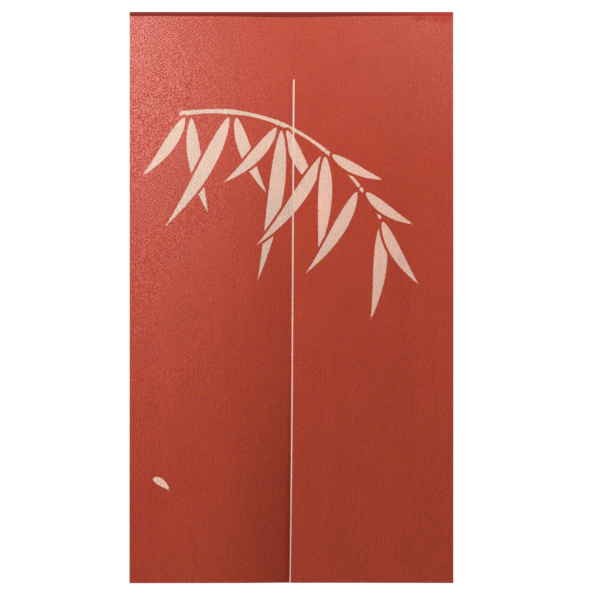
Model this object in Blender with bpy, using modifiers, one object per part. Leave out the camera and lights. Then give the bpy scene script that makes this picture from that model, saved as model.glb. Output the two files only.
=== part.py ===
"""A noren: two long cloth panels, joined above a slit and sewn to the rod sleeve that they hang by.

X runs from left to right as seen from the front, -Y is the front and +Z is up. The origin is in the middle of
the top edge, on the middle plane of the rod sleeve that the curtain hangs by.
"""

import math
from collections import namedtuple

import bmesh
import bpy

# Outline of the whole curtain, in metres as all sizes here are
WIDTH = 0.850
HEIGHT = 1.500

# Cloth: one layer, and the turned hems that lie double along every edge of a panel
CLOTH = 0.0012
HEM_CLOTH = 0.0022
HEM = 0.012
HEM_RAMP = 0.0015

# Rod sleeve behind the panels' top edges
SLEEVE_HEIGHT = 0.045
SLEEVE_OPENING = 0.006
SLEEVE_SIDES = 20
SLEEVE_LENGTHS = 10

# Where two pieces meet
GAP = 0.0003

# Slit: it starts below the top edge, right of the middle, and runs to the bottom, left of it, bowed to the right
SLIT_TOP = -0.177
SLIT_END = 0.004
SLIT_X_TOP = 0.0063
SLIT_X_BOTTOM = -0.0039
SLIT_BOW = 0.0012
SLIT_WIDTH_TOP = 0.0030
SLIT_WIDTH_BOTTOM = 0.0020

# Points of a panel's mesh, besides those of its hems
COLUMNS = 16
LOWER_ROWS = 22
UPPER_ROWS = 3

# Planes from back to front: the sleeve's front, the panels' back along the top hem, and their front
SLEEVE_DEPTH = SLEEVE_OPENING + 2 * CLOTH
PANEL_BACK = -SLEEVE_DEPTH / 2 - GAP
PANEL_FRONT = PANEL_BACK - HEM_CLOTH

# How far the panels' top edge lies below the sleeve's fold
Edge = namedtuple("Edge", "x drop")
TOP_EDGE = (
    Edge(-0.425, 0.0110),
    Edge(-0.200, 0.0112),
    Edge(-0.010, 0.0138),
    Edge(0.210, 0.0110),
    Edge(0.425, 0.0100),
)

# Folds: depths are towards the front, halfway down and at the bottom. A swell is a round wave with its crest at
# x. A curl bends more and more towards x, which is the edge that it turns. The cloth is flat where it is held.
HELD = 0.060
FREE_LENGTH = 0.120
Fold = namedtuple("Fold", "panel form x_top x_bottom half_width middle bottom")
FOLDS = (
    Fold("both", "swell", -0.165, -0.265, 0.350, 0.0070, 0.0140),
    Fold("both", "curl", -0.425, -0.425, 0.200, 0.0020, 0.0150),
    Fold("both", "swell", 0.210, 0.150, 0.200, -0.0030, -0.0095),
    Fold("both", "curl", 0.425, 0.425, 0.140, 0.0150, 0.0100),
    Fold("left", "curl", 0.000, 0.000, 0.190, -0.0130, -0.0300),
    Fold("right", "curl", 0.000, 0.000, 0.210, -0.0075, -0.0115),
)

RUSSET = (0.42, 0.075, 0.048, 1.0)
SHADED_RUSSET = (0.25, 0.036, 0.025, 1.0)


def clamp(value):
    return min(max(value, 0.0), 1.0)


def smooth(value):
    share = clamp(value)
    return share * share * (3 - 2 * share)


def mix(start, end, share):
    return start + (end - start) * share


def stretch(start, end, steps):
    return [mix(start, end, step / steps) for step in range(steps + 1)]


def down_the_cloth(z):
    """0 where the cloth is held at the top, 1 at its bottom edge."""
    return clamp((-z - HELD) / (HEIGHT - HELD))


def top_edge(x):
    """Height of the panels' top edge at x."""
    for left, right in zip(TOP_EDGE, TOP_EDGE[1:]):
        if x <= right.x:
            return -mix(left.drop, right.drop, smooth((x - left.x) / (right.x - left.x)))
    return -TOP_EDGE[-1].drop


def slit_edge(side, z):
    """X of a panel's inner edge: a seam above the slit, then one side of the slit. side is -1 left, 1 right."""
    share = clamp((SLIT_TOP - z) / (HEIGHT + SLIT_TOP))
    opening = clamp((SLIT_TOP - z) / SLIT_END)
    width = mix(GAP, mix(SLIT_WIDTH_TOP, SLIT_WIDTH_BOTTOM, share), opening)
    middle = mix(SLIT_X_TOP, SLIT_X_BOTTOM, share) + SLIT_BOW * 4 * share * (1 - share)
    return middle + side * width / 2


def fold_depth(fold, x, z):
    """How far one fold brings the cloth forward at a point."""
    down = down_the_cloth(z)
    across = abs(x - mix(fold.x_top, fold.x_bottom, down)) / fold.half_width
    if across >= 1:
        return 0.0
    form = (1 + math.cos(math.pi * across)) / 2 if fold.form == "swell" else (1 - across) ** 2
    if down < 0.5:
        return form * fold.middle * smooth(2 * down)
    return form * mix(fold.middle, fold.bottom, smooth(2 * down - 1))


def depth(panel, x, z):
    """How far the cloth stands forward of the plane that it is held in. Only below the slit's top do the two
    panels part, each with its own folds."""
    free = smooth((SLIT_TOP - z) / FREE_LENGTH)
    shared = sum(fold_depth(fold, x, z) for fold in FOLDS if fold.panel == "both")
    own = sum(fold_depth(fold, x, z) for fold in FOLDS if fold.panel == panel)
    return shared + free * own


def column_places(side, z):
    """X of a panel's columns of points at height z, left to right: a hem, the cloth, the other hem."""
    left, right = sorted((side * WIDTH / 2, slit_edge(side, z)))
    inset = HEM + HEM_RAMP
    return [left, left + HEM, *stretch(left + inset, right - inset, COLUMNS), right - HEM, right]


def row_heights(x):
    """Heights of a panel's rows of points at x, bottom to top, with two rows close together at the slit's top."""
    bottom, top = -HEIGHT, top_edge(x)
    inset = HEM + HEM_RAMP
    lower = stretch(bottom + inset, SLIT_TOP - SLIT_END, LOWER_ROWS)
    upper = stretch(SLIT_TOP, top - inset, UPPER_ROWS)
    return [bottom, bottom + HEM, *lower, *upper, top - HEM, top]


def plain_cloth(name, colour):
    material = bpy.data.materials.new(name)
    material.use_nodes = True
    shader = material.node_tree.nodes["Principled BSDF"]
    shader.inputs["Base Color"].default_value = colour
    shader.inputs["Roughness"].default_value = 0.9
    shader.inputs["Metallic"].default_value = 0.0
    material.diffuse_color = colour
    return material


def take_new_object(name, collection, material):
    """Names the object that an operator has just added, and moves it to the curtain's collection."""
    added = bpy.context.object
    added.name = added.data.name = name
    for other in added.users_collection:
        other.objects.unlink(added)
    collection.objects.link(added)
    added.data.materials.append(material)
    return added


def add_panel(name, panel, side, collection, material):
    """One panel: a grid on the front of the cloth, thickened backwards, and twice as much in its hems."""
    columns, rows = COLUMNS + 4, LOWER_ROWS + UPPER_ROWS + 5
    bpy.ops.mesh.primitive_grid_add(x_subdivisions=columns, y_subdivisions=rows, size=1)
    cloth = take_new_object(name, collection, material)
    hems = cloth.vertex_groups.new(name="hems")
    for point in cloth.data.vertices:
        column = round((point.co.x + 0.5) * columns)
        row = round((point.co.y + 0.5) * rows)
        z = row_heights(column_places(side, SLIT_TOP)[column])[row]
        x = column_places(side, z)[column]
        point.co = (x, PANEL_FRONT - depth(panel, x, z), z)
        if column in (0, 1, columns - 1, columns) or row in (0, 1, rows - 1, rows):
            hems.add([point.index], 1.0, "REPLACE")
    thickness = cloth.modifiers.new("Thickness", "SOLIDIFY")
    thickness.thickness = HEM_CLOTH
    thickness.offset = -1.0
    thickness.vertex_group = hems.name
    thickness.thickness_vertex_group = CLOTH / HEM_CLOTH
    cloth.data.shade_smooth()
    return cloth


def add_sleeve(name, collection, material):
    """The strip folded double: an open tube, flattened to two walls with a round fold above and below."""
    bpy.ops.mesh.primitive_cylinder_add(
        vertices=SLEEVE_SIDES, radius=1, depth=1, end_fill_type="NOTHING", rotation=(0, math.pi / 2, 0)
    )
    sleeve = take_new_object(name, collection, material)
    bpy.ops.object.transform_apply(location=False, rotation=True, scale=False)
    shape = bmesh.new()
    shape.from_mesh(sleeve.data)
    along = [edge for edge in shape.edges if edge.verts[0].co.x * edge.verts[1].co.x < 0]
    bmesh.ops.subdivide_edges(shape, edges=along, cuts=SLEEVE_LENGTHS - 1, use_grid_fill=True)
    shape.to_mesh(sleeve.data)
    shape.free()
    radius = SLEEVE_DEPTH / 2
    straight = SLEEVE_HEIGHT / 2 - radius
    for point in sleeve.data.vertices:
        height = round(point.co.z, 3)
        half_wall = math.copysign(straight, height) if height else 0.0
        z = -SLEEVE_HEIGHT / 2 + height * radius + half_wall
        point.co = (point.co.x * WIDTH, point.co.y * radius, z)
    wall = sleeve.modifiers.new("Wall", "SOLIDIFY")
    wall.thickness = CLOTH
    wall.offset = -1.0
    sleeve.data.shade_smooth()
    return sleeve


def main():
    for old in list(bpy.data.objects):
        bpy.data.objects.remove(old, do_unlink=True)
    noren = bpy.data.collections.new("noren")
    bpy.context.scene.collection.children.link(noren)
    front = plain_cloth("panel_cloth", RUSSET)
    back = plain_cloth("heading_cloth", SHADED_RUSSET)
    add_panel("left_panel", "left", -1, noren, front)
    add_panel("right_panel", "right", 1, noren, front)
    add_sleeve("heading", noren, back)


main()
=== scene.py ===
import math
from collections import namedtuple

import bpy
import numpy as np
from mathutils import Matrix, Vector


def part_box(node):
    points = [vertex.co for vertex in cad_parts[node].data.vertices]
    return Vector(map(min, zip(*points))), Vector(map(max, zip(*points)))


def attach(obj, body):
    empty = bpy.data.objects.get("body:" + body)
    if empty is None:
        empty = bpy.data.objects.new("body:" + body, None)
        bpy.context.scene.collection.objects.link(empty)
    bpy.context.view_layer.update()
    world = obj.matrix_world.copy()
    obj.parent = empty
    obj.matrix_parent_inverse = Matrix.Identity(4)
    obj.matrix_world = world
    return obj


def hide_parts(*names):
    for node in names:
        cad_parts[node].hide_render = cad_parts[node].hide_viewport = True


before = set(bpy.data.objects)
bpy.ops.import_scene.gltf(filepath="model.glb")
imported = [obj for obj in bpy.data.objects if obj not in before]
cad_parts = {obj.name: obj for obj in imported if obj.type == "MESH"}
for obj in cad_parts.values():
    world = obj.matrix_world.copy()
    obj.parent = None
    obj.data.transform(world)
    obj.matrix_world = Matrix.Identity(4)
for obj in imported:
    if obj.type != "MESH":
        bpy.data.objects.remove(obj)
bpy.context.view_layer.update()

# Sizes taken from the frame, in metres as all sizes here are
heading_low, heading_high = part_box("heading")
WIDTH = heading_high.x - heading_low.x
HEIGHT = -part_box("left_panel")[0].z
SLEEVE_HEIGHT = heading_high.z - heading_low.z
SLEEVE_DEPTH = heading_high.y - heading_low.y

# Cloth, hems and seams. The hems are as thick as those of the solids, and the single cloth is thinner.
CLOTH = 0.0009
HEM_CLOTH = 0.0022
HEM = 0.012
HEM_RAMP = 0.0006
GAP = 0.0003
PANEL_FRONT = -SLEEVE_DEPTH / 2 - GAP - HEM_CLOTH
SEAM_LAP = 0.0001
EDGE_ROUND = 0.0006

# Sleeve: a round tube, pressed flat. WALL_SHARE is how much of its round becomes the two flat walls. The
# back wall lies a little inside the solid's, and slack.
SLEEVE_SIDES = 40
SLEEVE_LENGTHS = 240
WALL_SHARE = 0.35
BACK_INSET = 0.0007
LONG_SLACK = 0.00035
SHORT_SLACK = 0.0002
WELD_REACH = 0.00002

# Slit: it opens over SLIT_END, leans to the left on its way down, and bows to the right. The bow is most,
# and with BOW_SCALE is SLIT_BOW, two thirds of the way down. The dye stops short of the slit's edges.
SLIT_TOP = -0.177
SLIT_END = 0.005
SLIT_X_TOP = 0.0063
SLIT_X_BOTTOM = -0.0039
SLIT_BOW = 0.0015
BOW_SCALE = 27 / 4
SLIT_WIDTH_TOP = 0.0008
SLIT_WIDTH_BOTTOM = 0.0004
UNDYED_EDGE = 0.0019

# How far the panels' top edge lies below the sleeve's fold
Edge = namedtuple("Edge", "x drop")
TOP_EDGE = (
    Edge(-0.425, 0.0110),
    Edge(-0.200, 0.0112),
    Edge(-0.010, 0.0138),
    Edge(0.210, 0.0110),
    Edge(0.425, 0.0100),
)

# Folds: depths are towards the front, halfway down and at the bottom. A swell is a round wave with its
# crest at x. A curl bends more and more towards x, which is the edge that it turns. The cloth is flat
# where it is held. Below the slit's top, each panel takes up its own folds over FREE_LENGTH.
HELD = 0.060
FREE_LENGTH = 0.120
Fold = namedtuple("Fold", "panel form x_top x_bottom half_width middle bottom")
FOLDS = (
    Fold("both", "swell", -0.165, -0.265, 0.350, 0.0070, 0.0140),
    Fold("both", "curl", -0.425, -0.425, 0.200, 0.0020, 0.0150),
    Fold("both", "swell", 0.210, 0.150, 0.200, -0.0030, -0.0095),
    Fold("both", "curl", 0.425, 0.425, 0.140, 0.0150, 0.0100),
    Fold("left", "curl", 0.000, 0.000, 0.190, -0.0130, -0.0300),
    Fold("right", "curl", 0.000, 0.000, 0.210, -0.0075, -0.0115),
)

# Small creases that the solids leave out: a soft trough or ridge along a line from one end to the other.
# CREASE_FADE is the share of its length over which each end fades.
Crease = namedtuple("Crease", "x_start z_start x_end z_end half_width depth")
CREASES = (
    Crease(-0.385, -1.455, -0.350, -1.488, 0.012, -0.0009),
    Crease(0.335, -0.020, 0.385, -0.034, 0.014, -0.0016),
    Crease(-0.290, -0.060, -0.255, -0.420, 0.030, 0.0008),
    Crease(-0.120, -0.300, -0.150, -0.980, 0.034, -0.0009),
    Crease(0.115, -0.700, 0.105, -1.440, 0.040, 0.0010),
    Crease(0.310, -0.520, 0.325, -1.300, 0.036, -0.0009),
    Crease(-0.355, -0.820, -0.345, -1.430, 0.030, -0.0008),
)
CREASE_FADE = 0.25

# Ripple beside the sewing. Paces are in radians a metre.
Ripple = namedtuple("Ripple", "pace wander wander_pace swell_pace")
DOWN_RIPPLE = Ripple(310, 2.1, 37, 23)
ACROSS_RIPPLE = Ripple(290, 2.3, 41, 19)
PUCKER = 0.00022
PUCKER_REACH = 0.020

# Spray of leaves kept free of dye: a jointed stem that droops to the right, and leaves that hang from its
# joints. A turn is an angle from straight down, to the right. A bend is how far a leaf bows out, as a
# share of its length.
STEM = ((-0.292, -0.268), (0.045, -0.215), (0.236, -0.545))
STEM_JOINTS = (0.0, 0.20, 0.43, 0.66, 0.86, 1.0)
STEM_WIDTH = 0.015
JOINT_GAP = 0.005
LEAF_PARTING = 0.007
LEAF_TIP = 0.0008
Leaf = namedtuple("Leaf", "share turn length width bend")
LEAVES = (
    Leaf(0.03, -36, 0.190, 0.031, 0.10),
    Leaf(0.04, 10, 0.255, 0.035, -0.08),
    Leaf(0.21, -30, 0.330, 0.038, 0.08),
    Leaf(0.22, 22, 0.215, 0.033, -0.10),
    Leaf(0.43, -44, 0.200, 0.031, 0.12),
    Leaf(0.45, 28, 0.185, 0.032, -0.10),
    Leaf(0.44, -9, 0.400, 0.040, 0.06),
    Leaf(0.66, -36, 0.290, 0.035, 0.10),
    Leaf(0.67, 64, 0.150, 0.027, -0.10),
    Leaf(0.66, -4, 0.262, 0.036, 0.06),
    Leaf(0.86, -32, 0.250, 0.034, 0.09),
    Leaf(0.87, 56, 0.150, 0.028, -0.12),
    Leaf(1.00, -6, 0.250, 0.035, 0.08),
    Leaf(0.99, 30, 0.190, 0.030, -0.10),
)
FALLEN_LEAF = ((-0.362, -1.226), (-0.340, -1.232), (-0.318, -1.258))
FALLEN_LEAF_WIDTH = 0.019
SPINE_STEPS = 32
STEM_STEPS = 12
FAR = 0.05

# Mesh pitch over the spray and elsewhere, and where the lines of points lie across a hem, as shares of it
SPRAY_TOP = -0.245
SPRAY_BOTTOM = -0.850
FINE_PITCH = 0.0033
ROW_PITCH = 0.0058
HEM_STEPS = (0, 0.12, 0.4, 0.7, 1)

# Sewing: the stitches, how far before and behind each one its direction is taken, and how many points are
# in the lines that they follow
STITCH_LENGTH = 0.0026
STITCH_PITCH = 0.0034
THREAD = 0.00042
HEM_STITCH_INSET = 0.0105
SLEEVE_SEAMS = (-0.0215, -0.0385)
AIM_REACH = 0.001
LONG_LINE_POINTS = 700
SHORT_LINE_POINTS = 260

# Camera: the outline's first and last pixel columns and rows in the photo, which is 600 pixels square
PHOTO_SIDE = 600
OUTLINE_COLUMNS = (130.1, 452.7)
OUTLINE_ROWS = (11.9, 583.0)
VIEW_DISTANCE = 25.0
SENSOR = 36.0

# Room: a light in front of the top left corner, one that rakes in from the left, one at the top right and
# one behind. Its walls are white, and light the cloth by WALL_LIGHT.
Light = namedtuple("Light", "name place aim width height power")
LIGHTS = (
    Light("corner_light", (-0.55, -1.40, 0.16), (-0.40, 0, -0.10), 0.25, 0.60, 10.3),
    Light("left_light", (-2.40, -0.80, -0.35), (0, 0, -0.70), 0.60, 0.80, 56.5),
    Light("right_light", (0.90, -0.80, 0.60), (0.30, 0, -0.20), 0.60, 0.60, 10.6),
    Light("back_light", (0.40, 1.40, -0.45), (0, 0, -0.70), 1.00, 1.00, 12.0),
)
WALL_LIGHT = 0.22
FLOOR_HEIGHT = -2.0
FLOOR_RADIUS = 2.6

# Colours
RUSSET = (0.490, 0.060, 0.019, 1.0)
PINK_RUSSET = (0.462, 0.050, 0.034, 1.0)
# Painted sheen: the russet paled where light glints off the grain's crowns
PAINTED_SHEEN_RUSSET = (0.690, 0.255, 0.228, 1.0)
CREAM = (0.720, 0.530, 0.425, 1.0)
WARM_CREAM = (0.860, 0.520, 0.410, 1.0)
LIGHT_CREAM = (0.930, 0.600, 0.470, 1.0)
PEACH_CREAM = (0.920, 0.500, 0.360, 1.0)
# Painted shade on the heading: deep at its left, lighter at its right end
HEADING_PAINTED_SHADE = (0.205, 0.018, 0.010, 1.0)
HEADING_LESS_PAINTED_SHADE = (0.425, 0.034, 0.022, 1.0)
THREAD_RUSSET = (0.330, 0.040, 0.025, 1.0)
PALE_FLOOR = (0.80, 0.79, 0.77, 1.0)
WHITE = (1.0, 1.0, 1.0, 1.0)

# Painted sheen starts in the top left corner, and reaches further down the cloth than across it
TOP_LEFT = (-0.425, 0.0, 0.0)
PAINTED_SHEEN_SCALE = (1.50, 0.0, 0.60)
PAINTED_SHEEN_REACH = 0.80

# Two faint patches of painted shade below the heading, near its right end
PaintedShade = namedtuple("PaintedShade", "x z width height strength")
PAINTED_SHADES = (
    PaintedShade(0.336, -0.0165, 0.023, 0.0075, 0.90),
    PaintedShade(0.396, -0.0185, 0.034, 0.0150, 0.75),
)

# Crepe: two slanting sets of ridges that wander and cross, with pebbles between them, long slubs down the
# cloth, and single threads. A wave texture of scale 1 repeats every WAVE_LENGTH.
WAVE_LENGTH = math.pi / 10
RIDGE_PITCH = 0.0076
RIDGE_SLANT = 52
RIDGE_RELIEF = 0.0012
RIDGE_SHARE = 0.30
PEBBLE_SHARE = 0.75
PEBBLE_SCALE = 310
SLUB_SCALE = (330, 1, 9)
THREAD_PITCH = 0.00105
THREAD_RELIEF = 0.00005
CLOTH_SPECULAR = 0.20


def smooth(value):
    share = np.clip(value, 0.0, 1.0)
    return share * share * (3 - 2 * share)


def mix(start, end, share):
    return start + (end - start) * share


def stretch(start, end, pitch):
    """Even steps from start to end, no longer than the pitch, both ends included."""
    steps = max(1, math.ceil(abs(end - start) / pitch))
    return list(np.linspace(start, end, steps + 1))


def top_edge(x):
    """Height of the panels' top edge at x."""
    height = np.full(np.shape(x), -TOP_EDGE[-1].drop)
    for left, right in reversed(list(zip(TOP_EDGE, TOP_EDGE[1:]))):
        share = smooth((x - left.x) / (right.x - left.x))
        height = np.where(x <= right.x, -mix(left.drop, right.drop, share), height)
    return height


def slit_edge(side, z):
    """X of a panel's inner edge: a closed seam above the slit, then one side of the slit."""
    share = np.clip((SLIT_TOP - z) / (HEIGHT + SLIT_TOP), 0, 1)
    opening = np.sqrt(np.clip((SLIT_TOP - z) / SLIT_END, 0, 1))
    width = mix(-SEAM_LAP, mix(SLIT_WIDTH_TOP, SLIT_WIDTH_BOTTOM, share), opening)
    middle = mix(SLIT_X_TOP, SLIT_X_BOTTOM, share) + SLIT_BOW * BOW_SCALE * share**2 * (1 - share)
    return middle + side * width / 2


def fold_depth(fold, x, z):
    """How far one fold brings the cloth forward at a point."""
    down = np.clip((-z - HELD) / (HEIGHT - HELD), 0, 1)
    across = np.clip(abs(x - mix(fold.x_top, fold.x_bottom, down)) / fold.half_width, 0, 1)
    form = (1 + np.cos(math.pi * across)) / 2 if fold.form == "swell" else (1 - across) ** 2
    upper = fold.middle * smooth(2 * down)
    lower = mix(fold.middle, fold.bottom, smooth(2 * down - 1))
    return form * np.where(down < 0.5, upper, lower)


def crease_depth(crease, x, z):
    """A soft trough or ridge along a line, fading out at both ends."""
    along = np.array((crease.x_end - crease.x_start, crease.z_end - crease.z_start))
    length = np.hypot(*along)
    along = along / length
    run = (x - crease.x_start) * along[0] + (z - crease.z_start) * along[1]
    off = abs((z - crease.z_start) * along[0] - (x - crease.x_start) * along[1])
    fade = smooth(run / length / CREASE_FADE + 0.5) * smooth((1 - run / length) / CREASE_FADE + 0.5)
    return crease.depth * fade * np.exp(-((off / crease.half_width) ** 2) * 2)


def ripple(waves, place, wander_start, swell_start):
    """An uneven ripple from -1 to 1. Its waves wander and swell along their way."""
    wander = waves.wander * np.sin(waves.wander_pace * place + wander_start)
    swell = 0.6 + 0.4 * np.sin(waves.swell_pace * place + swell_start)
    return np.sin(waves.pace * place + wander) * swell


def pucker(side, x, z):
    """The slight ripple that a line of sewing draws into the cloth beside each hem."""
    from_side = np.minimum(abs(x - side * WIDTH / 2), abs(x - slit_edge(side, z)))
    from_end = np.minimum(z + HEIGHT, top_edge(x) - z)
    beside = 1 - smooth(abs(from_side - HEM) / PUCKER_REACH)
    below = 1 - smooth(abs(from_end - HEM) / PUCKER_REACH)
    down_cloth = ripple(DOWN_RIPPLE, z, side, 2 * side)
    across_cloth = ripple(ACROSS_RIPPLE, x, 0, side)
    return PUCKER * (beside * down_cloth + below * across_cloth)


def depth(panel, side, x, z):
    """How far the cloth stands forward of the plane that it is held in."""
    free = smooth((SLIT_TOP - z) / FREE_LENGTH)
    shared = sum(fold_depth(fold, x, z) for fold in FOLDS if fold.panel == "both")
    own = sum(fold_depth(fold, x, z) for fold in FOLDS if fold.panel == panel)
    creased = sum(crease_depth(crease, x, z) for crease in CREASES)
    return shared + free * own + creased + pucker(side, x, z)


def curve_points(ends, shares):
    """Points of a curve that leaves its first end towards the second point and comes in to the third."""
    start, middle, end = (np.array(point) for point in ends)
    shares = np.asarray(shares)[:, None]
    return (1 - shares) ** 2 * start + 2 * shares * (1 - shares) * middle + shares**2 * end


def stroke_distance(x, z, spine, half_widths):
    """Signed distance to the edge of one stroke, below zero inside it and FAR away from it."""
    distance = np.full(x.shape, FAR)
    reach = FAR + max(half_widths)
    low, high = spine.min(0) - reach, spine.max(0) + reach
    near = (x > low[0]) & (x < high[0]) & (z > low[1]) & (z < high[1])
    near_x, near_z = x[near], z[near]
    found = np.full(near_x.shape, FAR)
    for start, end, first, last in zip(spine, spine[1:], half_widths, half_widths[1:]):
        along = end - start
        run = ((near_x - start[0]) * along[0] + (near_z - start[1]) * along[1]) / (along @ along)
        run = np.clip(run, 0, 1)
        off = np.hypot(near_x - start[0] - run * along[0], near_z - start[1] - run * along[1])
        found = np.minimum(found, off - mix(first, last, run))
    distance[near] = found
    return distance


def leaf_distance(x, z, ends, width):
    """A leaf is widest a little before its middle and runs out to a long tip."""
    shares = np.linspace(0, 1, SPINE_STEPS + 1)
    half_widths = width / 2 * np.sin(math.pi * shares**0.70) ** 0.95
    return stroke_distance(x, z, curve_points(ends, shares), np.maximum(half_widths, LEAF_TIP))


def stem_distance(x, z):
    """The stem is one short stroke after another, each thicker at its ends, and thins towards its tip."""
    distance = np.full(x.shape, FAR)
    length = math.dist(STEM[0], STEM[-1])
    across = np.linspace(-1, 1, STEM_STEPS)
    for start, end in zip(STEM_JOINTS, STEM_JOINTS[1:]):
        shares = np.linspace(start + JOINT_GAP / length, end - JOINT_GAP / length, STEM_STEPS)
        thick_ends = 0.72 + 0.28 * across**6
        half_widths = STEM_WIDTH / 2 * thick_ends * (1.05 - 0.5 * shares)
        distance = np.minimum(distance, stroke_distance(x, z, curve_points(STEM, shares), half_widths))
    return distance


def hanging_leaf(leaf):
    """The curve of a leaf's spine, from where it leaves the stem to its tip."""
    base = curve_points(STEM, [leaf.share])[0]
    turn = math.radians(leaf.turn)
    along = np.array((math.sin(turn), -math.cos(turn)))
    across = np.array((-along[1], along[0]))
    start = base + along * STEM_WIDTH
    tip = start + along * leaf.length
    return start, (start + tip) / 2 + across * leaf.bend * leaf.length, tip


def spray_distance(x, z):
    """Signed distance to the edge of the undyed spray. Each leaf is parted from those drawn before it."""
    distance = stem_distance(x, z)
    for leaf in LEAVES:
        own = leaf_distance(x, z, hanging_leaf(leaf), leaf.width)
        distance = np.minimum(np.maximum(distance, LEAF_PARTING - own), own)
    return np.minimum(distance, leaf_distance(x, z, FALLEN_LEAF, FALLEN_LEAF_WIDTH))


def deselect_everything():
    if bpy.context.object and bpy.context.object.mode != "OBJECT":
        bpy.ops.object.mode_set(mode="OBJECT")
    bpy.ops.object.select_all(action="DESELECT")


def apply_modifiers(piece):
    deselect_everything()
    piece.select_set(True)
    bpy.context.view_layer.objects.active = piece
    for modifier in list(piece.modifiers):
        bpy.ops.object.modifier_apply(modifier=modifier.name)


def points_of(mesh):
    places = np.empty(len(mesh.vertices) * 3, np.float32)
    mesh.vertices.foreach_get("co", places)
    return places.reshape(-1, 3).astype(float)


def set_points(mesh, places):
    mesh.vertices.foreach_set("co", np.asarray(places, np.float32).ravel())
    mesh.update()


def panel_columns(side, z):
    """X of a panel's columns of points at each height, left to right, as a list of arrays."""
    outer = np.full(np.shape(z), side * WIDTH / 2)
    inner = slit_edge(side, z)
    left, right = (outer, inner) if side < 0 else (inner, outer)
    inset = HEM + HEM_RAMP
    steps = math.ceil((WIDTH / 2 - 2 * inset) / FINE_PITCH)
    columns = [left + HEM * step for step in HEM_STEPS]
    columns += [mix(left + inset, right - inset, step / steps) for step in range(steps + 1)]
    return columns + [right - HEM * step for step in reversed(HEM_STEPS)]


def panel_rows(x):
    """Heights of a panel's rows of points at each x, bottom to top, as a list of arrays."""
    bottom, top = np.full(np.shape(x), -HEIGHT), top_edge(x)
    inset = HEM + HEM_RAMP
    below_top = min(-edge.drop for edge in TOP_EDGE) - inset
    fixed = stretch(-HEIGHT + inset, SPRAY_BOTTOM, ROW_PITCH)[:-1]
    fixed += stretch(SPRAY_BOTTOM, SPRAY_TOP, FINE_PITCH)[:-1]
    fixed += stretch(SPRAY_TOP, SLIT_TOP, ROW_PITCH)[:-1]
    fixed += stretch(SLIT_TOP, below_top - FINE_PITCH, ROW_PITCH)
    rows = [bottom + HEM * step for step in HEM_STEPS]
    rows += [np.full(np.shape(x), z) for z in fixed]
    return rows + [top - inset] + [top - HEM * step for step in reversed(HEM_STEPS)]


def panel_grid(name, panel, side):
    """A flat grid laid out in the panel's outline and pushed into its folds."""
    rest_columns = np.array([float(column) for column in panel_columns(side, SLIT_TOP)])
    rows = panel_rows(rest_columns)
    across, up = len(rest_columns) - 1, len(rows) - 1
    deselect_everything()
    bpy.ops.mesh.primitive_grid_add(x_subdivisions=across, y_subdivisions=up, size=1)
    cloth = bpy.context.object
    cloth.name = cloth.data.name = name
    places = points_of(cloth.data)
    column = np.rint((places[:, 0] + 0.5) * across).astype(int)
    row = np.rint((places[:, 1] + 0.5) * up).astype(int)
    z = np.array(rows)[row, column]
    x = np.array(panel_columns(side, z))[column, np.arange(len(z))]
    y = PANEL_FRONT - depth(panel, side, x, z)
    set_points(cloth.data, np.stack([x, y, z], 1))
    hem_lines = len(HEM_STEPS) - 1
    in_hem = (column <= hem_lines) | (column >= across - hem_lines)
    in_hem |= (row <= hem_lines) | (row >= up - hem_lines)
    hems = cloth.vertex_groups.new(name="hems")
    hems.add(np.nonzero(in_hem)[0].tolist(), 1.0, "REPLACE")
    return cloth


def make_panel(name, panel, side, material):
    """One panel: its cloth thickened backwards, double in the hems, with softened edges and its dye."""
    cloth = panel_grid(name, panel, side)
    thickness = cloth.modifiers.new("Thickness", "SOLIDIFY")
    thickness.thickness = HEM_CLOTH
    thickness.offset = -1.0
    thickness.vertex_group = "hems"
    thickness.thickness_vertex_group = CLOTH / HEM_CLOTH
    edges = cloth.modifiers.new("Edges", "BEVEL")
    edges.width = EDGE_ROUND
    edges.segments = 2
    edges.limit_method = "ANGLE"
    edges.angle_limit = math.radians(60)
    apply_modifiers(cloth)
    cloth.vertex_groups.clear()
    cloth.data.shade_smooth()
    places = points_of(cloth.data)
    dye = cloth.data.attributes.new("spray_edge", "FLOAT", "POINT")
    distance = spray_distance(places[:, 0], places[:, 2])
    dye.data.foreach_set("value", distance.astype(np.float32))
    from_slit = np.where(places[:, 2] < SLIT_TOP, abs(places[:, 0] - slit_edge(side, places[:, 2])), FAR)
    slit = cloth.data.attributes.new("from_slit", "FLOAT", "POINT")
    slit.data.foreach_set("value", from_slit.astype(np.float32))
    cloth.data.materials.append(material)
    return cloth


def sleeve_back(x, high):
    """Depth of the sleeve's slack back wall. high runs from -1 at its bottom to 1 at its top."""
    long_wave = np.sin(61 * x + 1.7 * np.sin(17 * x))
    short_wave = np.sin(190 * x + 3 * high)
    slack = LONG_SLACK * long_wave + SHORT_SLACK * short_wave
    return np.sqrt(np.clip(1 - high**2, 0, 1)) * (SLEEVE_DEPTH / 2 - BACK_INSET - slack)


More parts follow.
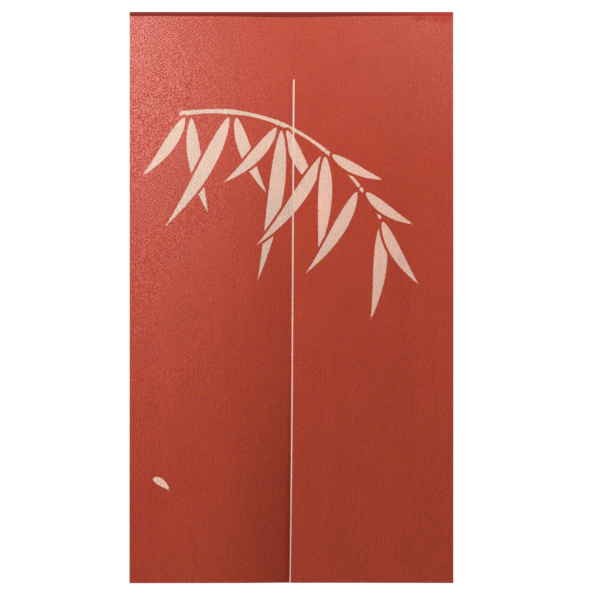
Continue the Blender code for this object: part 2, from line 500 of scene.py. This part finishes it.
def make_sleeve(name, material):
    """The strip folded double: a flattened tube, a little slack and uneven between its rows of sewing."""
    deselect_everything()
    bpy.ops.mesh.primitive_grid_add(x_subdivisions=SLEEVE_LENGTHS, y_subdivisions=SLEEVE_SIDES, size=1)
    sleeve = bpy.context.object
    sleeve.name = sleeve.data.name = name
    places = points_of(sleeve.data)
    x = places[:, 0] * WIDTH
    around = (0.5 - places[:, 1]) * 2 * math.pi
    radius = SLEEVE_DEPTH / 2
    straight = SLEEVE_HEIGHT / 2 - radius
    high = np.sin(around)
    half_wall = np.sign(np.round(high, 5)) * straight * np.minimum(1, abs(high) / WALL_SHARE)
    z = -SLEEVE_HEIGHT / 2 + high * radius + half_wall
    y = np.where(np.cos(around) > 0, sleeve_back(x, high), np.cos(around) * radius)
    set_points(sleeve.data, np.stack([x, y, z], 1))
    close = sleeve.modifiers.new("Close", "WELD")
    close.merge_threshold = WELD_REACH
    wall = sleeve.modifiers.new("Wall", "SOLIDIFY")
    wall.thickness = CLOTH
    wall.offset = -1.0
    apply_modifiers(sleeve)
    sleeve.data.shade_smooth()
    bpy.ops.object.shade_smooth_by_angle(angle=math.radians(50))
    sleeve.data.materials.append(material)
    return sleeve


def line_places(runs, run, points):
    """The places on a line of points after each of some runs along it."""
    return np.stack([np.interp(runs, run, points[:, axis]) for axis in range(3)], 1)


def stitch_line(points):
    """Middles and directions of even stitches along a line of close points."""
    points = np.asarray(points)
    steps = np.linalg.norm(np.diff(points, axis=0), axis=1)
    run = np.concatenate([[0], np.cumsum(steps)])
    runs = np.arange(STITCH_PITCH / 2, run[-1], STITCH_PITCH)
    ahead = line_places(runs + AIM_REACH, run, points)
    along = ahead - line_places(runs - AIM_REACH, run, points)
    return line_places(runs, run, points), along / np.linalg.norm(along, axis=1)[:, None]


def model_stitch():
    """One stitch, lying along X: a short round thread whose ends dip into the cloth below it."""
    deselect_everything()
    bpy.ops.mesh.primitive_cylinder_add(
        vertices=6, radius=THREAD / 2, depth=STITCH_LENGTH, rotation=(0, math.pi / 2, 0)
    )
    stitch = bpy.context.object
    bpy.ops.object.transform_apply(location=False, rotation=True, scale=False)
    ends = stitch.modifiers.new("Ends", "BEVEL")
    ends.width = THREAD * 0.25
    ends.limit_method = "ANGLE"
    ends.angle_limit = math.radians(80)
    apply_modifiers(stitch)
    places = points_of(stitch.data)
    from_middle = 2 * places[:, 0] / STITCH_LENGTH
    places[:, 2] += THREAD * (0.25 - 0.5 * from_middle**4)
    set_points(stitch.data, places)
    return stitch


def make_stitches(name, lines, facing, material):
    """Copies of one stitch along lines on the cloth. facing is -1 on its front and 1 on its back."""
    stitch = model_stitch()
    shape = points_of(stitch.data)
    faces = [np.array(face.vertices) for face in stitch.data.polygons]
    bpy.data.objects.remove(stitch, do_unlink=True)
    middles, alongs = (np.concatenate(found) for found in zip(*map(stitch_line, lines)))
    out = np.array((0.0, facing, 0.0))
    side = np.cross(out, alongs)
    side /= np.linalg.norm(side, axis=1)[:, None]
    points = middles[:, None] + shape[:, :1] * alongs[:, None]
    points = points + shape[:, 1:2] * side[:, None] + shape[:, 2:] * out
    starts = np.arange(len(middles)) * len(shape)
    corners = [(face + start).tolist() for start in starts for face in faces]
    mesh = bpy.data.meshes.new(name)
    mesh.from_pydata(points.reshape(-1, 3).tolist(), [], corners)
    mesh.shade_smooth()
    stitches = bpy.data.objects.new(name, mesh)
    bpy.context.scene.collection.objects.link(stitches)
    stitches.data.materials.append(material)
    return stitches


def on_panel(panel, side, x, z, facing):
    """Points on a panel's front or, in its hems, on its back."""
    y = PANEL_FRONT - depth(panel, side, x, z)
    if facing > 0:
        y = y + HEM_CLOTH
    return np.stack([x, y, z], 1)


def hem_stitch_lines(panel, side, facing):
    """The rows of sewing round a panel, one hem's width in from each edge."""
    inset = HEM_STITCH_INSET
    z = np.linspace(-HEIGHT + inset, float(top_edge(side * WIDTH / 2)) - inset, LONG_LINE_POINTS)
    outer = np.full(z.shape, side * (WIDTH / 2 - inset))
    inner = slit_edge(side, z) + side * inset
    left, right = sorted((side * (WIDTH / 2 - inset), float(inner[0])))
    x = np.linspace(left, right, SHORT_LINE_POINTS)
    across = [np.full(x.shape, -HEIGHT + inset), top_edge(x) - inset]
    if facing < 0:
        across.append(np.full(x.shape, SLEEVE_SEAMS[-1]))
    lines = [on_panel(panel, side, outer, z, facing), on_panel(panel, side, inner, z, facing)]
    return lines + [on_panel(panel, side, x, level, facing) for level in across]


def sleeve_stitch_lines():
    """The two rows that hold the sleeve to the panels, on the sleeve's back."""
    x = np.linspace(-WIDTH / 2 + HEM_STITCH_INSET, WIDTH / 2 - HEM_STITCH_INSET, LONG_LINE_POINTS)
    radius = SLEEVE_DEPTH / 2
    lines = []
    for z in SLEEVE_SEAMS:
        high = (z + SLEEVE_HEIGHT / 2) / (radius + (SLEEVE_HEIGHT / 2 - radius) / WALL_SHARE)
        lines.append(np.stack([x, sleeve_back(x, high), np.full(x.shape, z)], 1))
    return lines


class Recipe:
    """One material's shader nodes, added one at a time and joined by their sockets."""

    def __init__(self, name):
        self.material = bpy.data.materials.new(name)
        self.material.use_nodes = True
        self.tree = self.material.node_tree
        self.shader = self.tree.nodes["Principled BSDF"]
        self.place = self.node("ShaderNodeTexCoord").outputs["Object"]

    def node(self, kind, inputs=(), **settings):
        made = self.tree.nodes.new(kind)
        for name, value in settings.items():
            setattr(made, name, value)
        for name, value in dict(inputs).items():
            self.give(made.inputs[name], value)
        return made

    def give(self, socket, value):
        if isinstance(value, bpy.types.NodeSocket):
            self.tree.links.new(value, socket)
        else:
            socket.default_value = value

    def vector(self, operation, first, second):
        return self.node("ShaderNodeVectorMath", {0: first, 1: second}, operation=operation).outputs[0]

    def turned(self, degrees, scale):
        """The piece's own coordinates, turned about Y and stretched."""
        turn = self.node("ShaderNodeMapping", {
            "Vector": self.place,
            "Rotation": (0, math.radians(degrees), 0),
        })
        return self.vector("MULTIPLY", turn.outputs[0], scale)

    def distance(self, centre, scale):
        """How far each point is from a centre, once both are stretched."""
        off = self.vector("MULTIPLY", self.vector("SUBTRACT", self.place, centre), scale)
        return self.node("ShaderNodeVectorMath", {0: off}, operation="LENGTH").outputs["Value"]

    def noise(self, vector, scale=1.0, detail=2.0, roughness=0.5):
        return self.node("ShaderNodeTexNoise", {
            "Vector": vector, "Scale": scale, "Detail": detail, "Roughness": roughness,
        }).outputs["Fac"]

    def math(self, operation, first, second):
        return self.node("ShaderNodeMath", {0: first, 1: second}, operation=operation).outputs[0]

    def product(self, first, *others):
        for other in others:
            first = self.math("MULTIPLY", first, other)
        return first

    def spread(self, value, low, high, new_low=0.0, new_high=1.0):
        """The value with low to high stretched to a new range, and no further."""
        return self.node("ShaderNodeMapRange", {
            "Value": value, "From Min": low, "From Max": high, "To Min": new_low, "To Max": new_high,
        }).outputs["Result"]

    def blend(self, share, first, second):
        """A colour between two others. Inputs 6 and 7 and output 2 are the colours of a Mix node."""
        mixed = self.node("ShaderNodeMix", {"Factor": share, 6: first, 7: second}, data_type="RGBA")
        return mixed.outputs[2]

    def shaded(self, colour, brightness):
        """The colour times a brightness."""
        tinted = self.node("ShaderNodeVectorMath", {0: colour, "Scale": brightness}, operation="SCALE")
        return tinted.outputs[0]

    def bump(self, height, distance, below=None):
        made = self.node("ShaderNodeBump", {"Height": height, "Distance": distance, "Strength": 1.0})
        if below is not None:
            self.give(made.inputs["Normal"], below)
        return made.outputs["Normal"]


def crepe(recipe):
    """The crepe's grain, from 0 in its hollows to 1 on its crowns, and its slubs."""
    ridges = [
        recipe.node("ShaderNodeTexWave", {
            "Vector": recipe.turned(slant, (1, 1, 1)), "Scale": WAVE_LENGTH / RIDGE_PITCH,
            "Distortion": 7.0, "Detail": 3.0, "Detail Scale": 1.8, "Detail Roughness": 0.65,
        }, bands_direction="X").outputs["Fac"]
        for slant in (RIDGE_SLANT, -RIDGE_SLANT)
    ]
    crossed = recipe.product(*ridges)
    pebbles = recipe.spread(recipe.noise(recipe.place, PEBBLE_SCALE, 2, 0.6), 0.36, 0.64)
    ridged = recipe.product(crossed, RIDGE_SHARE)
    grain = recipe.math("ADD", ridged, recipe.product(pebbles, PEBBLE_SHARE))
    slubs = recipe.noise(recipe.turned(0, SLUB_SCALE), detail=2.5)
    return grain, recipe.spread(slubs, 0.3, 0.7)


def threads(recipe):
    """Single threads that go over and under each other."""
    warp, weft = (
        recipe.node("ShaderNodeTexWave", {
            "Vector": recipe.place, "Scale": WAVE_LENGTH / THREAD_PITCH,
            "Distortion": 1.2, "Detail": 1.0, "Detail Scale": 0.4,
        }, bands_direction=direction).outputs["Fac"]
        for direction in "XZ"
    )
    over = recipe.product(recipe.math("SUBTRACT", warp, 0.5), recipe.math("SUBTRACT", weft, 0.5), 2.0)
    return recipe.math("ADD", over, 0.5)


def finish_cloth(recipe, colour, grain, slubs, relief):
    """Gives the shader its colour, and the relief of the grain, the slubs and the single threads."""
    recipe.shader.inputs["Specular IOR Level"].default_value = CLOTH_SPECULAR
    normal = recipe.bump(grain, relief)
    normal = recipe.bump(slubs, relief * 0.25, normal)
    normal = recipe.bump(threads(recipe), THREAD_RELIEF, normal)
    recipe.give(recipe.shader.inputs["Base Color"], colour)
    recipe.give(recipe.shader.inputs["Normal"], normal)
    return recipe.material


def painted_sheen(recipe, place, crowns):
    """How far a painted sheen pales the dye: most on the grain's crowns in the top left corner, and a
    little in the top right one."""
    near = recipe.spread(recipe.distance(TOP_LEFT, PAINTED_SHEEN_SCALE), PAINTED_SHEEN_REACH, 0.0, 0.0, 1.08)
    left = recipe.product(recipe.math("POWER", near, 1.9), crowns)
    right = recipe.product(
        recipe.spread(place["X"], -0.20, 1.40),
        recipe.spread(place["Z"], -0.40, 0.0),
        recipe.spread(crowns, 0, 1, 0.2, 0.8),
    )
    return recipe.math("ADD", left, right)


def outside_painted_shade(recipe):
    """1 outside the painted shade, and less in its two patches, whose edges are soft."""
    unshaded = 1.0
    for shade_patch in PAINTED_SHADES:
        away = recipe.distance((shade_patch.x, 0, shade_patch.z), (1 / shade_patch.width, 0, 1 / shade_patch.height))
        unshaded = recipe.product(unshaded, recipe.spread(away, 0.6, 1.2, 1 - shade_patch.strength, 1))
    return unshaded


def panel_cloth():
    """Russet crepe with the spray and the slit's edges left undyed. The dye lies unevenly; a painted sheen
    pales the grain's crowns, and painted shade darkens two patches below the heading."""
    recipe = Recipe("panel_cloth")
    grain, slubs = crepe(recipe)
    place = recipe.node("ShaderNodeSeparateXYZ", {0: recipe.place}).outputs
    patches = recipe.spread(recipe.noise(recipe.place, 110, 5, 0.8), 0.42, 0.58)
    clouds = recipe.noise(recipe.place, 9, 3, 0.6)
    russet = recipe.blend(patches, PINK_RUSSET, RUSSET)
    crowns = recipe.spread(grain, 0.20, 0.74)
    # Painted shade in two patches below the heading
    unshaded = outside_painted_shade(recipe)
    # Painted sheen on the grain's crowns, kept out of the painted shade patches
    sheen_share = recipe.product(painted_sheen(recipe, place, crowns), unshaded)
    russet = recipe.blend(sheen_share, russet, PAINTED_SHEEN_RUSSET)
    warm = recipe.spread(recipe.math("ADD", place["X"], clouds), 0.30, 0.75)
    cream = recipe.blend(warm, CREAM, WARM_CREAM)
    cream = recipe.blend(recipe.spread(place["Z"], -0.9, -1.2), cream, LIGHT_CREAM)
    from_slit = recipe.node("ShaderNodeAttribute", attribute_name="from_slit").outputs["Fac"]
    edge = recipe.node("ShaderNodeAttribute", attribute_name="spray_edge").outputs["Fac"]
    wick = recipe.spread(recipe.noise(recipe.place, 420, 2), 0.3, 0.7, -0.0009, 0.0009)
    undyed = recipe.spread(recipe.math("ADD", edge, wick), 0.0005, -0.0005)
    undyed_edge = recipe.spread(from_slit, UNDYED_EDGE + 0.0002, UNDYED_EDGE - 0.0002)
    edge_cream = recipe.blend(recipe.spread(place["Z"], -0.40, -0.90), CREAM, PEACH_CREAM)
    colour = recipe.blend(undyed_edge, recipe.blend(undyed, russet, cream), edge_cream)
    # Lightness from the grain, slubs and clouds, and darker in the painted shade patches
    lightness = recipe.product(
        recipe.spread(grain, 0.1, 0.8, 0.93, 1.08),
        recipe.spread(slubs, 0, 1, 0.96, 1.04),
        recipe.spread(clouds, 0.3, 0.7, 0.97, 1.03),
        recipe.spread(unshaded, 0, 1, 0.93, 1),
    )
    recipe.give(recipe.shader.inputs["Roughness"], recipe.spread(grain, 0.25, 0.75, 0.88, 0.70))
    return finish_cloth(recipe, recipe.shaded(colour, lightness), grain, slubs, RIDGE_RELIEF)


def heading_cloth():
    """The same cloth in the heading, flatter, with painted shade in its colour that lightens towards its
    right end.
    """
    recipe = Recipe("heading_cloth")
    grain, slubs = crepe(recipe)
    across = recipe.node("ShaderNodeSeparateXYZ", {0: recipe.place}).outputs["X"]
    # Painted shade, lightening towards the right end
    colour = recipe.blend(recipe.spread(across, 0.16, 0.45), HEADING_PAINTED_SHADE, HEADING_LESS_PAINTED_SHADE)
    slubbed = recipe.spread(slubs, 0, 1, 0.95, 1.05)
    lightness = recipe.product(slubbed, recipe.spread(grain, 0, 0.7, 0.96, 1.05))
    recipe.shader.inputs["Roughness"].default_value = 0.75
    return finish_cloth(recipe, recipe.shaded(colour, lightness), grain, slubs, RIDGE_RELIEF * 0.3)


def sewing_thread():
    """Matching thread, twisted, a little deeper than the cloth."""
    recipe = Recipe("sewing_thread")
    ply = recipe.noise(recipe.place, 2600, 1)
    lightness = recipe.spread(ply, 0.3, 0.7, 0.85, 1.1)
    colour = recipe.shaded(recipe.blend(ply, THREAD_RUSSET, RUSSET), lightness)
    recipe.give(recipe.shader.inputs["Base Color"], colour)
    recipe.give(recipe.shader.inputs["Normal"], recipe.bump(ply, 0.0001))
    recipe.shader.inputs["Roughness"].default_value = 0.6
    return recipe.material


def place_light(light):
    data = bpy.data.lights.new(light.name, "AREA")
    data.shape = "RECTANGLE"
    data.size = light.width
    data.size_y = light.height
    data.energy = light.power
    lamp = bpy.data.objects.new(light.name, data)
    lamp.location = light.place
    lamp.visible_camera = False
    lamp.rotation_euler = (Vector(light.aim) - Vector(light.place)).to_track_quat("-Z", "Y").to_euler()
    bpy.context.scene.collection.objects.link(lamp)


def light_the_room():
    for light in LIGHTS:
        place_light(light)
    world = bpy.data.worlds.new("white_room")
    bpy.context.scene.world = world
    world.use_nodes = True
    tree = world.node_tree
    tree.nodes.clear()
    rays = tree.nodes.new("ShaderNodeLightPath")
    strength = tree.nodes.new("ShaderNodeMapRange")
    strength.inputs["To Min"].default_value = WALL_LIGHT
    strength.inputs["To Max"].default_value = 1.0
    white = tree.nodes.new("ShaderNodeBackground")
    white.inputs["Color"].default_value = WHITE
    output = tree.nodes.new("ShaderNodeOutputWorld")
    tree.links.new(rays.outputs["Is Camera Ray"], strength.inputs["Value"])
    tree.links.new(strength.outputs["Result"], white.inputs["Strength"])
    tree.links.new(white.outputs["Background"], output.inputs["Surface"])


def lay_floor():
    deselect_everything()
    bpy.ops.mesh.primitive_circle_add(
        vertices=96, radius=FLOOR_RADIUS, fill_type="NGON", location=(0, 0, FLOOR_HEIGHT)
    )
    floor = bpy.context.object
    floor.name = "floor"
    recipe = Recipe("pale_floor")
    recipe.shader.inputs["Base Color"].default_value = PALE_FLOOR
    recipe.shader.inputs["Roughness"].default_value = 0.7
    floor.data.materials.append(recipe.material)


def place_camera():
    """Square on to the curtain, far enough away to flatten it, with the outline where the photo has it."""
    pixel = HEIGHT / (OUTLINE_ROWS[1] - OUTLINE_ROWS[0])
    middle_column, middle_row = sum(OUTLINE_COLUMNS) / 2, sum(OUTLINE_ROWS) / 2
    data = bpy.data.cameras.new("camera")
    data.sensor_width = SENSOR
    data.lens = SENSOR * VIEW_DISTANCE / (PHOTO_SIDE * pixel)
    camera = bpy.data.objects.new("camera", data)
    x = (PHOTO_SIDE / 2 - middle_column) * pixel
    z = -HEIGHT / 2 - (PHOTO_SIDE / 2 - middle_row) * pixel
    camera.location = (x, PANEL_FRONT - VIEW_DISTANCE, z)
    camera.rotation_euler = (math.radians(90), 0, 0)
    bpy.context.scene.collection.objects.link(camera)
    bpy.context.scene.camera = camera


place_camera()
light_the_room()
lay_floor()
bpy.context.scene.view_settings.view_transform = "Standard"

dyed = panel_cloth()
thread = sewing_thread()
PANELS = (("left_cloth", "left_panel", "left", -1), ("right_cloth", "right_panel", "right", 1))
for cloth_name, node, panel, side in PANELS:
    cloth = make_panel(cloth_name, panel, side, dyed)
    front = make_stitches(panel + "_front_stitches", hem_stitch_lines(panel, side, -1), -1, thread)
    back = make_stitches(panel + "_back_stitches", hem_stitch_lines(panel, side, 1), 1, thread)
    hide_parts(node)
    for piece in (cloth, front, back):
        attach(piece, "root")

sleeve = make_sleeve("sleeve_cloth", heading_cloth())
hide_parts("heading")
sleeve_stitches = make_stitches("sleeve_stitches", sleeve_stitch_lines(), 1, thread)
for piece in (sleeve, sleeve_stitches):
    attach(piece, "root")
